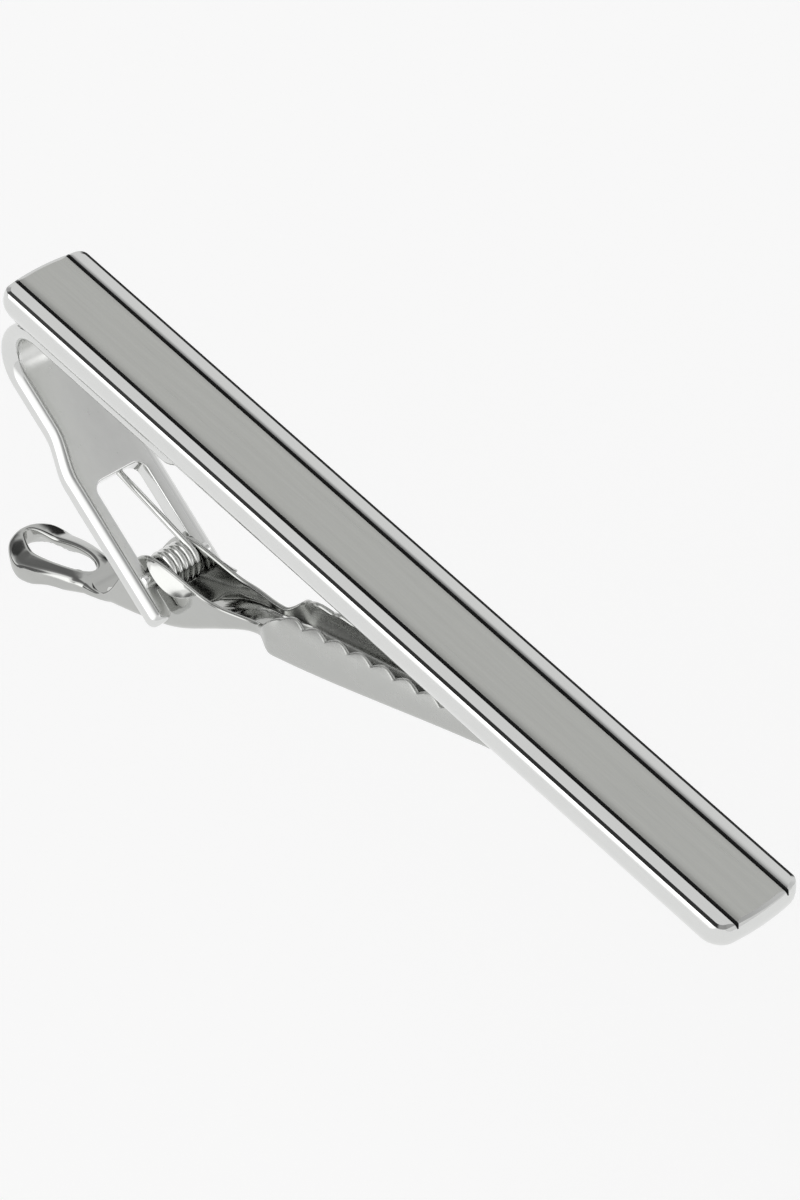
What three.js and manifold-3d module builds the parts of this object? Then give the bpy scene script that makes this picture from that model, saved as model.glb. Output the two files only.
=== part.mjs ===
// Tie bar with a sprung jaw clip on its back. Millimetres, +Z up.
// The origin is the middle of the bar's flat back.
// +X runs along the bar from the clip's bend to the free end.
import * as THREE from "three";
import { mergeVertices } from "three/addons/utils/BufferGeometryUtils.js";
import Module from "manifold-3d";

const wasm = await Module();
wasm.setup();

// Front bar: a solid bar with bullnosed sides and two grooves with rolled shoulders, which part the
// brushed panel from the rails
const BAR_LENGTH = 60.5;
const BAR_WIDTH = 6;
const BAR_THICKNESS = 2;
const BAR_WIDEST_HEIGHT = 1.15;
const SIDE_BULGE = 0.32;
const BACK_DRAW_IN = 0.22;
const END_CROWN = 0.3;
const TOP_CORNER_RADIUS = 0.35;
const SIDE_CORNER_RADIUS = 1.1;
const RAIL_WIDTH = 1.05;
const BAR_EDGE_WIDTH = 0.1;
const BAR_EDGE_HEIGHT = 0.07;
const GROOVE_WIDTH = 0.26;
const GROOVE_DEPTH = 0.3;
const SHOULDER_WIDTH = 0.5;
const SHOULDER_DROP = 0.07;

// Clip arm: one stamped strip, soldered under the bar, bent back on itself and forked at its end
const SOLDER_THICKNESS = 0.2;
const SOLDER_MARGIN = 0.2;
const ARM_SHEET = 1.2;
const ARM_EDGE_RADIUS = 0.4;
const ARM_NARROW_WIDTH = 5;
const ARM_WIDE_WIDTH = 6.5;
const FOOT_LENGTH = 12.6;
const FOOT_CORNER_RADIUS = 1;
const BEND_RADIUS = 2.3;
const BEND_INSET = 0.05;
const ARM_SLOPE_DEG = 28.5;
const ARM_LENGTH = 16.75;
const FLARE_START = 3.5;
const FLARE_LENGTH = 3.4;
const PRONG_TIP_RADIUS = 0.55;
const WINDOW_CORNER_RADIUS = 0.7;
const WINDOW_LENGTH = 9.2;

// Hinge: a round trunnion on each prong enters a hole in each cheek of the lever
const HINGE_TO_TIP = 2.6;
const TRUNNION_RADIUS = 0.45;
const TRUNNION_ENTRY = 0.5;
const TRUNNION_SINK = 0.1;
const TRUNNION_GAP = 0.3;
const CHEEK_SIDE_GAP = 0.3;

// Jaw lever: a stamped channel with a finger loop, two cheeks, a neck and a toothed jaw.
// Its own X runs from the hinge axis to the jaw's tip, and its heights are above the hinge axis.
const LEVER_SHEET = 0.35;
const LEVER_WIDTH = 3.2;
const LEVER_CORNER_RADIUS = 0.5;
const EDGE_BREAK = 0.06;
const TAIL_REACH = 15.4;
const TAIL_TIP_DROP = 4;
const LOOP_WIDTH = 4.7;
const LOOP_DROP = 4.8;
const LOOP_HEIGHT = 1.25;
const LOOP_EDGE = 0.35;
const LOOP_RIM_WIDTH = 0.55;
const LOOP_HOLE_WIDTH = 2;
const LOOP_DOME = 0.5;
const LOOP_HOLLOW = 1.25;
const LOOP_SKIRT = 0.45;
const LOOP_NECK = 9.1;
const LOOP_NECK_HEIGHT = 0.95;
const CHANNEL_START = 8;
const DIP_BACK = 6.6;
const DIP_WIDTH = 3;
const DIP_DROP = 4.05;
const DIP_HEIGHT = 0.5;
const CHEEK_BACK = 2.5;
const CHEEK_CREST_BACK = 0.4;
const CHEEK_CREST_HEIGHT = 1.22;
const HINGE_DROP = 3.5;
const STEM_START = 5.2;
const STEM_TOP_HEIGHT = -0.02;
const NECK_REACH = 8.7;
const NECK_WIDTH = 2.5;
const NECK_DROP = 1.12;
const NECK_DEPTH = 0.95;
const HEEL_REACH = 11.2;
const JAW_START = 11.2;
const JAW_REACH = 31.2;
const JAW_WIDTH = 3.8;
const JAW_TIP_WIDTH = 2.6;
const JAW_TIP_ROUND = 0.8;
const JAW_HEEL_DROP = 1.55;
const JAW_HEEL_HEIGHT = 1.3;
const JAW_TIP_DROP = 0.75;
const JAW_CROWN = 1.6;
const JAW_NOSE = 0.9;
const JAW_GAP = 0.3;
const JAW_LEAN = 0.33;
const TOOTH_PITCH = 1.9;
const TOOTH_HEIGHT = 0.45;

// Lugs: half-moon lips that bulge out of the cheeks over the prongs
const LUG_REAR = 0.4;
const LUG_FRONT = 3.8;
const LUG_BELLY = 1;
const LUG_PROUD = 0.55;
const LUG_EDGE_SIZE = 0.3;

// Torsion spring: one leg lies under the arm past its window, the other on the lever's tail
const WIRE_DIAMETER = 0.32;
const COIL_RADIUS = 1.1;
const COIL_WHOLE_TURNS = 2;
const TURN_GAP = 0.47;
const SPRING_SEAT_GAP = 0.2;
const ARM_LEG_PAST_WINDOW = 1.3;
const LEVER_LEG_REACH = 5.6;

// Facet counts
const CORNER_STEPS = 4;
const END_STEPS = 6;
const SIDE_STEPS = 8;
const SHOULDER_STEPS = 3;
const BEND_STEPS = 16;
const FLARE_STEPS = 8;
const LOOP_STEPS = 12;
const DOME_STEPS = 4;
const TAIL_STEPS = 14;
const CHEEK_STEPS = 18;
const STEM_STEPS = 14;
const TIP_STEPS = 4;
const TOOTH_STEPS = 6;
const ROUND_STEPS = 24;
const LUG_STEPS = 10;
const WIRE_SIDES = 5;
const STEPS_PER_TURN = 8;
const LEG_STEPS = 3;
const MEASURE_STEPS_PER_TURN = 60;

// Small helpers
const lerp = THREE.MathUtils.lerp;
const ease = (x, start, end) => THREE.MathUtils.smoothstep(x, start, end);
const spaced = (start, end, steps) =>
  Array.from({ length: steps + 1 }, (_, i) => lerp(start, end, i / steps));

// A closed body through rings of points. Each ring is a convex loop and has as many points as the others.
function loft(rings) {
  const count = rings[0].length;
  const points = rings.flat();
  const index = [];
  for (let r = 0; r + 1 < rings.length; r++) {
    for (let i = 0; i < count; i++) {
      const a = r * count + i;
      const b = r * count + ((i + 1) % count);
      index.push(a, b, b + count, a, b + count, a + count);
    }
  }
  for (const end of [0, rings.length - 1]) {
    const middle = new THREE.Vector3();
    rings[end].forEach((p) => middle.addScaledVector(p, 1 / count));
    const hub = points.push(middle) - 1;
    for (let i = 0; i < count; i++) {
      const a = end * count + i;
      const b = end * count + ((i + 1) % count);
      index.push(...(end === 0 ? [hub, b, a] : [hub, a, b]));
    }
  }
  const geometry = new THREE.BufferGeometry().setFromPoints(points);
  geometry.setIndex(index);
  return geometry;
}

// A solid for joining and cutting, turned so that its faces point out.
function solid(geometry) {
  const bare = geometry.clone();
  bare.deleteAttribute("normal");
  bare.deleteAttribute("uv");
  const merged = mergeVertices(bare, 1e-5);
  const triVerts = new Uint32Array(merged.index.array);
  const vertProperties = merged.attributes.position.array;
  const make = () => new wasm.Manifold(new wasm.Mesh({ numProp: 3, vertProperties, triVerts }));
  const made = make();
  if (made.volume() > 0) return made;
  for (let i = 0; i < triVerts.length; i += 3) {
    [triVerts[i + 1], triVerts[i + 2]] = [triVerts[i + 2], triVerts[i + 1]];
  }
  return make();
}

function geometryOf(manifold) {
  const mesh = manifold.getMesh();
  const geometry = new THREE.BufferGeometry();
  geometry.setAttribute("position", new THREE.BufferAttribute(new Float32Array(mesh.vertProperties), 3));
  geometry.setIndex([...mesh.triVerts]);
  const flat = geometry.toNonIndexed();
  flat.computeVertexNormals();
  return flat;
}

function named(name, manifold, material) {
  const mesh = new THREE.Mesh(geometryOf(manifold), material);
  mesh.name = name;
  return mesh;
}

// A round bar along Y between two places on that axis.
function roundBar(x, z, radius, yFrom, yTo) {
  const bar = new THREE.CylinderGeometry(radius, radius, Math.abs(yTo - yFrom), ROUND_STEPS);
  bar.translate(x, (yFrom + yTo) / 2, z);
  return solid(bar);
}

const polished = new THREE.MeshStandardMaterial({ color: 0xd8d9d6, roughness: 0.12, metalness: 1 });
const satin = new THREE.MeshStandardMaterial({ color: 0xb4b6b0, roughness: 0.35, metalness: 1 });
const springSteel = new THREE.MeshStandardMaterial({ color: 0xcfd0cd, roughness: 0.15, metalness: 1 });
const solder = new THREE.MeshStandardMaterial({ color: 0xb9b9b4, roughness: 0.4, metalness: 1 });

// Front bar
function barOutline(z, drawnIn) {
  const widest = BAR_WIDEST_HEIGHT;
  const above = z >= widest;
  const away = above ? (z - widest) / (BAR_THICKNESS - widest) : (widest - z) / widest;
  const fall = (above ? SIDE_BULGE : SIDE_BULGE + BACK_DRAW_IN) * away * away;
  const offset = SIDE_BULGE - fall - drawnIn;
  const halfLength = BAR_LENGTH / 2 + offset;
  const halfWidth = BAR_WIDTH / 2 + offset;
  const radius = lerp(SIDE_CORNER_RADIUS, TOP_CORNER_RADIUS, above ? away * away : 0);
  const quarter = [];
  for (const turn of spaced(0, Math.PI / 2, CORNER_STEPS)) {
    const x = halfLength - radius + radius * Math.cos(turn);
    quarter.push([x, halfWidth - radius + radius * Math.sin(turn)]);
  }
  const straight = spaced(0, halfWidth - radius, END_STEPS / 2).slice(0, -1);
  const half = [...straight.map((y) => [halfLength, y]), ...quarter];
  const crowned = half.map(([x, y]) => [x - END_CROWN * (y / halfWidth) ** 2, y]);
  const mirrored = crowned.slice(1).reverse();
  const loop = [
    ...crowned,
    ...mirrored.map(([x, y]) => [-x, y]),
    [-halfLength, 0],
    ...crowned.slice(1).map(([x, y]) => [-x, -y]),
    ...mirrored.map(([x, y]) => [x, -y]),
  ];
  return loop.map(([x, y]) => new THREE.Vector3(x, y, z));
}

function groove(y) {
  const reach = BAR_LENGTH / 2 + SIDE_BULGE + END_CROWN;
  const half = spaced(0, 1, SHOULDER_STEPS).map((share) => {
    const fall = SHOULDER_DROP * (1 - share) ** 2;
    return [GROOVE_WIDTH / 2 + SHOULDER_WIDTH * share, BAR_THICKNESS - fall];
  });
  half.push([GROOVE_WIDTH / 2 + SHOULDER_WIDTH, BAR_THICKNESS + GROOVE_DEPTH]);
  const mirrored = [...half].reverse().map(([across, z]) => [-across, z]);
  const section = [[0, BAR_THICKNESS - GROOVE_DEPTH], ...half, ...mirrored];
  const ring = (x) => section.map(([across, z]) => new THREE.Vector3(x, y + across, z));
  return solid(loft([ring(-reach), ring(reach)]));
}

function frontBar() {
  const lower = spaced(0, BAR_WIDEST_HEIGHT, SIDE_STEPS / 2);
  const upper = spaced(BAR_WIDEST_HEIGHT, BAR_THICKNESS - BAR_EDGE_HEIGHT, SIDE_STEPS / 2).slice(1);
  const rings = [...lower, ...upper].map((z) => barOutline(z, 0));
  const body = solid(loft([...rings, barOutline(BAR_THICKNESS, BAR_EDGE_WIDTH)]));
  const grooveY = BAR_WIDTH / 2 - RAIL_WIDTH;
  return body.subtract(groove(grooveY)).subtract(groove(-grooveY));
}

// Clip arm: its middle line runs back along the foot, round the bend and down the slope
const armSlope = THREE.MathUtils.degToRad(ARM_SLOPE_DEG);
const footZ = -SOLDER_THICKNESS - ARM_SHEET / 2;
const bendX = -BAR_LENGTH / 2 - END_CROWN + BEND_INSET + ARM_SHEET / 2 + BEND_RADIUS;
const bendTurn = Math.PI - armSlope;
const slopeDirection = new THREE.Vector3(Math.cos(armSlope), 0, -Math.sin(armSlope));
const slopeNormal = new THREE.Vector3(Math.sin(armSlope), 0, Math.cos(armSlope));
function bendPoint(turn) {
  const x = bendX - BEND_RADIUS * Math.sin(turn);
  return new THREE.Vector3(x, 0, footZ - BEND_RADIUS + BEND_RADIUS * Math.cos(turn));
}
const slopeStart = bendPoint(bendTurn);
const onSlope = (along, above) =>
  slopeStart.clone().addScaledVector(slopeDirection, along).addScaledVector(slopeNormal, above);

const hinge = onSlope(ARM_LENGTH - HINGE_TO_TIP, ARM_SHEET / 2 - TRUNNION_SINK);
const cheekHalf = LEVER_WIDTH / 2;
const windowHalf = cheekHalf + CHEEK_SIDE_GAP;
const windowTop = ARM_LENGTH - WINDOW_LENGTH;

// The strip's section: a flat rectangle with rounded edges, across the given normal.
function stripRing(centre, normal, width) {
  const radius = Math.min(ARM_EDGE_RADIUS, ARM_SHEET / 3);
  const ring = [];
  const corners = [[1, 1], [-1, 1], [-1, -1], [1, -1]];
  corners.forEach(([side, up], corner) => {
    for (const turn of spaced(0, Math.PI / 2, CORNER_STEPS)) {
      const angle = turn + (corner * Math.PI) / 2;
      const y = side * (width / 2 - radius) + radius * Math.cos(angle);
      const n = up * (ARM_SHEET / 2 - radius) + radius * Math.sin(angle);
      ring.push(centre.clone().addScaledVector(normal, n).setY(y));
    }
  });
  return ring;
}

function armStrip() {
  const rings = [];
  const footEnd = bendX + FOOT_LENGTH;
  for (const turn of spaced(0, Math.PI / 2, CORNER_STEPS)) {
    const x = footEnd - FOOT_CORNER_RADIUS * (1 - Math.cos(turn));
    const width = ARM_NARROW_WIDTH - 2 * FOOT_CORNER_RADIUS * (1 - Math.sin(turn));
    rings.push(stripRing(new THREE.Vector3(x, 0, footZ), new THREE.Vector3(0, 0, 1), width));
  }
  for (const turn of spaced(0, bendTurn, BEND_STEPS)) {
    const outward = new THREE.Vector3(-Math.sin(turn), 0, Math.cos(turn));
    rings.push(stripRing(bendPoint(turn), outward, ARM_NARROW_WIDTH));
  }
  const outward = slopeNormal.clone().negate();
  for (const along of spaced(FLARE_START, FLARE_START + FLARE_LENGTH, FLARE_STEPS)) {
    const flare = ease(along, FLARE_START, FLARE_START + FLARE_LENGTH);
    rings.push(stripRing(onSlope(along, 0), outward, lerp(ARM_NARROW_WIDTH, ARM_WIDE_WIDTH, flare)));
  }
  rings.push(stripRing(onSlope(ARM_LENGTH, 0), outward, ARM_WIDE_WIDTH));
  return solid(loft(rings));
}

// What is cut from the strip's end, square through the sheet: the window and the prongs' corners.
function forkCutter() {
  const outer = ARM_WIDE_WIDTH / 2;
  const tip = Math.min(PRONG_TIP_RADIUS, (outer - windowHalf) / 2);
  const tipStart = ARM_LENGTH - tip;
  const past = ARM_SHEET;
  const corner = WINDOW_CORNER_RADIUS;
  const outline = new THREE.Shape();
  outline.moveTo(windowTop, windowHalf - corner);
  outline.absarc(windowTop + corner, windowHalf - corner, corner, Math.PI, Math.PI / 2, true);
  outline.absarc(tipStart, windowHalf + tip, tip, -Math.PI / 2, 0, false);
  outline.absarc(tipStart, outer - tip, tip, 0, Math.PI / 2, false);
  outline.lineTo(tipStart, outer + past);
  outline.lineTo(ARM_LENGTH + past, outer + past);
  outline.lineTo(ARM_LENGTH + past, -outer - past);
  outline.lineTo(tipStart, -outer - past);
  outline.absarc(tipStart, -outer + tip, tip, -Math.PI / 2, 0, false);
  outline.absarc(tipStart, -windowHalf - tip, tip, 0, Math.PI / 2, false);
  outline.absarc(windowTop + corner, -windowHalf + corner, corner, -Math.PI / 2, -Math.PI, true);
  const cutter = new THREE.ExtrudeGeometry(outline, {
    depth: 2 * past,
    bevelEnabled: false,
    curveSegments: CORNER_STEPS,
  });
  const across = new THREE.Vector3(0, 1, 0);
  const place = new THREE.Matrix4().makeBasis(slopeDirection, across, slopeNormal);
  place.setPosition(onSlope(0, -past));
  return solid(cutter.applyMatrix4(place));
}

function clipArm() {
  const prongMiddle = (windowHalf + ARM_WIDE_WIDTH / 2) / 2;
  const trunnionEnd = cheekHalf - LEVER_SHEET - TRUNNION_ENTRY;
  const trunnion = (side) =>
    roundBar(hinge.x, hinge.z, TRUNNION_RADIUS, side * prongMiddle, side * trunnionEnd);
  return armStrip().subtract(forkCutter()).add(trunnion(1)).add(trunnion(-1));
}

// Solder: a thin pad between the bar's back and the arm's foot, with a narrow margin all round
function solderSeam() {
  const length = FOOT_LENGTH + SOLDER_MARGIN;
  const half = ARM_NARROW_WIDTH / 2 + SOLDER_MARGIN;
  const corner = FOOT_CORNER_RADIUS;
  const outline = new THREE.Shape();
  outline.moveTo(0, -half);
  outline.absarc(length - corner, -half + corner, corner, -Math.PI / 2, 0, false);
  outline.absarc(length - corner, half - corner, corner, 0, Math.PI / 2, false);
  outline.lineTo(0, half);
  const pad = new THREE.ExtrudeGeometry(outline, {
    depth: SOLDER_THICKNESS,
    bevelEnabled: false,
    curveSegments: CORNER_STEPS,
  });
  pad.translate(bendX, 0, -SOLDER_THICKNESS);
  return solid(pad);
}

// A smooth line through places given as [x, value], level at both ends and at each high or low place.
function smoothLine(places) {
  const rise = (i) => (places[i + 1][1] - places[i][1]) / (places[i + 1][0] - places[i][0]);
  const slopes = places.map((_, i) => {
    if (i === 0 || i === places.length - 1) return 0;
    const before = rise(i - 1);
    const after = rise(i);
    return before * after > 0 ? (2 * before * after) / (before + after) : 0;
  });
  return (x) => {
    const next = places.findIndex(([place]) => x <= place);
    if (next === 0) return places[0][1];
    if (next < 0) return places[places.length - 1][1];
    const [x0, from] = places[next - 1];
    const [x1, to] = places[next];
    const t = (x - x0) / (x1 - x0);
    const bow = t * (1 - t) * (x1 - x0);
    const bend = slopes[next - 1] * (1 - t) - slopes[next] * t;
    return lerp(from, to, t * t * (3 - 2 * t)) + bow * bend;
  };
}

// Jaw lever, in its own frame
const loopRadius = LOOP_WIDTH / 2;
const loopCentre = -TAIL_REACH + loopRadius;
const holeRear = -TAIL_REACH + LOOP_RIM_WIDTH;
const holeHalfLength = (-LOOP_NECK - holeRear) / 2;
const holeMiddle = holeRear + holeHalfLength;

const leverBottom = smoothLine([
  [-TAIL_REACH, -TAIL_TIP_DROP],
  [loopCentre, -LOOP_DROP],
  [-DIP_BACK, -DIP_DROP],
  [0, -HINGE_DROP],
  [NECK_REACH, -NECK_DROP],
  [HEEL_REACH, -JAW_HEEL_DROP],
  [JAW_REACH, -JAW_TIP_DROP],
]);

const leverSide = smoothLine([
  [loopCentre, loopRadius],
  [-DIP_BACK, DIP_WIDTH / 2],
  [-CHEEK_BACK, LEVER_WIDTH / 2],
  [STEM_START, LEVER_WIDTH / 2],
  [NECK_REACH, NECK_WIDTH / 2],
  [HEEL_REACH, JAW_WIDTH / 2],
  [JAW_REACH, JAW_TIP_WIDTH / 2],
]);

// The top edge of both walls behind the jaw: rim, dip, cheek, stem and neck.
const wallTop = smoothLine([
  [-TAIL_REACH, LOOP_HEIGHT - TAIL_TIP_DROP],
  [loopCentre, LOOP_HEIGHT - LOOP_DROP],
  [-LOOP_NECK, leverBottom(-LOOP_NECK) + LOOP_NECK_HEIGHT],
  [-DIP_BACK, DIP_HEIGHT - DIP_DROP],
  [-CHEEK_CREST_BACK, CHEEK_CREST_HEIGHT],
  [STEM_START, STEM_TOP_HEIGHT],
  [NECK_REACH, NECK_DEPTH - NECK_DROP],
  [JAW_START, JAW_HEEL_HEIGHT],
]);

function leverHalfWidth(x) {
  if (x < loopCentre) return Math.sqrt(Math.max(loopRadius ** 2 - (x - loopCentre) ** 2, 0));
  const tipStart = JAW_REACH - JAW_TIP_ROUND;
  if (x <= tipStart) return leverSide(x);
  const round = Math.sqrt(Math.max(JAW_TIP_ROUND ** 2 - (x - tipStart) ** 2, 0));
  return leverSide(x) - JAW_TIP_ROUND + round;
}

function leverTop(x) {
  if (x < JAW_START) return wallTop(x);
  const along = (x - JAW_START) / (JAW_REACH - JAW_START);
  const scallop = Math.abs(Math.sin((Math.PI * (x - JAW_START)) / TOOTH_PITCH));
  return lerp(JAW_HEEL_HEIGHT, -TOOTH_HEIGHT, along ** JAW_CROWN) + TOOTH_HEIGHT * scallop;
}

// How far the loop's top swells up at a place: nothing at its rim, most over the middle of its hole.
function loopSwell(x, y) {
  const along = (x - holeMiddle) / (holeMiddle + TAIL_REACH);
  return LOOP_DOME * Math.max(0, 1 - along ** 2 - (y / loopRadius) ** 2);
}

// A section: a rounded bottom, sides that lean in from the jaw's heel on, and a top between broken edges.
function leverRing(x, halfWidth, bottom, top, radius, edge) {
  const r = Math.min(radius, (halfWidth + top - bottom) / 4);
  const lean = JAW_LEAN * ease(x, NECK_REACH, JAW_START) * Math.max(0, top - bottom - r);
  const topHalf = halfWidth - lean;
  const ring = [new THREE.Vector3(x, -topHalf + edge, top), new THREE.Vector3(x, -topHalf, top - edge)];
  for (const side of [-1, 1]) {
    for (const turn of spaced(0, Math.PI / 2, CORNER_STEPS)) {
      const swing = side < 0 ? turn : Math.PI / 2 - turn;
      const y = side * (halfWidth - r + r * Math.cos(swing));
      ring.push(new THREE.Vector3(x, y, bottom + r - r * Math.sin(swing)));
    }
  }
  ring.push(new THREE.Vector3(x, topHalf, top - edge), new THREE.Vector3(x, topHalf - edge, top));
  for (const y of spaced(topHalf - edge, edge - topHalf, DOME_STEPS).slice(1, -1)) {
    ring.push(new THREE.Vector3(x, y, top + loopSwell(x, y)));
  }
  return ring;
}

// Places where the section is taken: loop, tail, cheeks, stem, toothed jaw and its tip.
function leverStations() {
  const loop = spaced(0, Math.PI / 2, LOOP_STEPS).slice(1).map((a) => loopCentre - loopRadius * Math.cos(a));
  const tail = spaced(loopCentre, -DIP_BACK, TAIL_STEPS).slice(1);
  const cheek = spaced(-DIP_BACK, STEM_START, CHEEK_STEPS).slice(1);
  const stem = spaced(STEM_START, JAW_START, STEM_STEPS).slice(1);
  const tipStart = JAW_REACH - JAW_TIP_ROUND;
  const teeth = [];
  const step = TOOTH_PITCH / TOOTH_STEPS;
  for (let x = JAW_START + step; x < tipStart - step / 2; x += step) teeth.push(x);
  const tip = spaced(0, Math.PI / 2, TIP_STEPS).map((a) => tipStart + JAW_TIP_ROUND * Math.sin(a));
  return [...loop, ...tail, ...cheek, ...stem, ...teeth, ...tip];
}

function leverChannel() {
  const stations = leverStations();
  const outside = stations.map((x) => {
    const halfWidth = leverHalfWidth(x);
    const softened = lerp(LOOP_EDGE, EDGE_BREAK, ease(x, -LOOP_NECK, -DIP_BACK));
    const edge = Math.min(softened, halfWidth / 2);
    return leverRing(x, halfWidth, leverBottom(x), leverTop(x), LEVER_CORNER_RADIUS, edge);
  });
  const clear = CHEEK_CREST_HEIGHT + JAW_HEEL_HEIGHT + TOOTH_HEIGHT;
  const insideRadius = LEVER_CORNER_RADIUS / 2;
  const hollow = stations.filter((x) => x > -CHANNEL_START && x < JAW_REACH - JAW_NOSE);
  const inside = [-CHANNEL_START, ...hollow, JAW_REACH - JAW_NOSE].map((x) => {
    const floor = leverBottom(x) + LEVER_SHEET;
    return leverRing(x, leverHalfWidth(x) - LEVER_SHEET, floor, clear, insideRadius, EDGE_BREAK);
  });
  return solid(loft(outside)).subtract(solid(loft(inside)));
}

// The loop is pressed up from below round its long hole.
function fingerHole() {
  const outline = new THREE.Shape();
  outline.absellipse(holeMiddle, 0, holeHalfLength, LOOP_HOLE_WIDTH / 2, 0, 2 * Math.PI, false, 0);
  const hole = new THREE.ExtrudeGeometry(outline, {
    depth: 2 * LOOP_DROP,
    bevelEnabled: false,
    curveSegments: ROUND_STEPS,
  });
  hole.translate(0, 0, -2 * LOOP_DROP);
  const hollow = new THREE.SphereGeometry(1, ROUND_STEPS, ROUND_STEPS / 2);
  hollow.scale(holeMiddle + TAIL_REACH - LOOP_SKIRT, loopRadius - LOOP_SKIRT, LOOP_HOLLOW);
  hollow.translate(holeMiddle, 0, -LOOP_DROP);
  return solid(hole).add(solid(hollow));
}

// A half-moon lip along the cheek's crest. Its top falls away from the cheek towards its outer edge.
function lug(side) {
  const rear = new THREE.Vector2(-LUG_REAR, leverTop(-LUG_REAR) - EDGE_BREAK);
  const front = new THREE.Vector2(LUG_FRONT, leverTop(LUG_FRONT) - EDGE_BREAK);
  const outline = [];
  for (const t of spaced(0, 1, LUG_STEPS)) {
    const chord = rear.clone().lerp(front, t);
    outline.push(chord.setY(chord.y - LUG_BELLY * 4 * t * (1 - t)));
  }
  for (const t of spaced(1, 0, LUG_STEPS).slice(1, -1)) {
    const x = lerp(rear.x, front.x, t);
    outline.push(new THREE.Vector2(x, leverTop(x) - EDGE_BREAK));
  }
  const low = rear.clone().lerp(front, 1 / 2);
  low.y -= LUG_BELLY / 2;
  const section = (out, size) =>
    outline.map((p) => {
      const drawn = low.clone().lerp(p, size);
      return new THREE.Vector3(drawn.x, side * (cheekHalf + out), drawn.y);
    });
  const sections = [section(-LEVER_SHEET / 2, 1)];
  for (const t of spaced(0, 1, CORNER_STEPS)) {
    sections.push(section(LUG_PROUD * t, lerp(1, LUG_EDGE_SIZE, t)));
  }
  return solid(loft(sections));
}

function jawLever() {
  const holeRadius = TRUNNION_RADIUS + TRUNNION_GAP;
  const pierced = leverChannel().subtract(fingerHole()).add(lug(1)).add(lug(-1));
  return pierced.subtract(roundBar(0, 0, holeRadius, -LEVER_WIDTH, LEVER_WIDTH));
}

// At rest the jaw's tip lies just under the bar's back
const restAngle = Math.asin((-JAW_GAP - hinge.z) / JAW_REACH);
const leverPoint = (x, z) =>
  new THREE.Vector3(
    hinge.x + x * Math.cos(restAngle) - z * Math.sin(restAngle),
    0,
    hinge.z + x * Math.sin(restAngle) + z * Math.cos(restAngle),
  );

// Torsion spring: its middle line comes in along the lever's leg, winds round the hinge axis
// and leaves along the arm's leg
function springLine(stepsPerTurn) {
  const standOff = SPRING_SEAT_GAP + WIRE_DIAMETER / 2;
  const onTail = leverPoint(-LEVER_LEG_REACH, leverBottom(-LEVER_LEG_REACH) + LEVER_SHEET + standOff);
  const underArm = onSlope(windowTop, -ARM_SHEET / 2 - standOff);
  const bearing = (p) => Math.atan2(p.z - hinge.z, p.x - hinge.x);
  const swing = (p) => Math.acos(COIL_RADIUS / Math.hypot(p.x - hinge.x, p.z - hinge.z));
  const start = bearing(onTail) + swing(onTail);
  const partTurn = THREE.MathUtils.euclideanModulo(bearing(underArm) - swing(underArm) - start, 2 * Math.PI);
  const sweep = partTurn + 2 * Math.PI * COIL_WHOLE_TURNS;
  const pitch = WIRE_DIAMETER + TURN_GAP;
  const coilHalf = (pitch * sweep) / (4 * Math.PI);
  const onCoil = (t) => {
    const angle = start + sweep * t;
    const x = hinge.x + COIL_RADIUS * Math.cos(angle);
    const z = hinge.z + COIL_RADIUS * Math.sin(angle);
    return new THREE.Vector3(x, lerp(-coilHalf, coilHalf, t), z);
  };
  const coilSteps = Math.round((stepsPerTurn * sweep) / (2 * Math.PI));
  const coil = spaced(0, 1, coilSteps).map(onCoil);
  const tailEnd = onTail.setY(-coilHalf);
  const armEnd = underArm.setY(coilHalf);
  const armWay = armEnd.clone().sub(coil[coilSteps]).normalize();
  armEnd.addScaledVector(armWay, ARM_LEG_PAST_WINDOW);
  const legSteps = Math.max(LEG_STEPS, Math.round((LEG_STEPS * stepsPerTurn) / STEPS_PER_TURN));
  const tailLeg = spaced(0, 1, legSteps).slice(0, -1).map((t) => tailEnd.clone().lerp(coil[0], t));
  const armLeg = spaced(0, 1, legSteps).slice(1).map((t) => coil[coilSteps].clone().lerp(armEnd, t));
  return [...tailLeg, ...coil, ...armLeg];
}

function wireTube(line) {
  const radius = WIRE_DIAMETER / 2;
  let normal = new THREE.Vector3(0, 1, 0);
  const rings = line.map((point, i) => {
    const before = line[Math.max(i - 1, 0)];
    const after = line[Math.min(i + 1, line.length - 1)];
    const along = after.clone().sub(before).normalize();
    normal = normal.clone().addScaledVector(along, -normal.dot(along)).normalize();
    const side = along.clone().cross(normal);
    return Array.from({ length: WIRE_SIDES }, (_, k) => {
      const turn = (2 * Math.PI * k) / WIRE_SIDES;
      const out = normal.clone().multiplyScalar(radius * Math.cos(turn));
      return point.clone().add(out).addScaledVector(side, radius * Math.sin(turn));
    });
  });
  return solid(loft(rings));
}

// The least gap between stretches of the wire that lie half a turn or more apart along it.
function leastGap(line) {
  const run = [0];
  for (let i = 1; i < line.length; i++) run.push(run[i - 1] + line[i].distanceTo(line[i - 1]));
  let least = Infinity;
  for (let i = 0; i < line.length; i++) {
    for (let j = i + 1; j < line.length; j++) {
      if (run[j] - run[i] < Math.PI * COIL_RADIUS) continue;
      least = Math.min(least, line[i].distanceTo(line[j]) - WIRE_DIAMETER);
    }
  }
  return least;
}

const springGap = leastGap(springLine(MEASURE_STEPS_PER_TURN));
console.log(`torsion spring: least gap to itself ${springGap.toFixed(3)} mm`);

const tieBar = new THREE.Group();
tieBar.add(named("front_bar", frontBar(), satin));
tieBar.add(named("solder_seam", solderSeam(), solder));
tieBar.add(named("clip_arm", clipArm(), polished));
tieBar.add(named("torsion_spring", wireTube(springLine(STEPS_PER_TURN)), springSteel));

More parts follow.
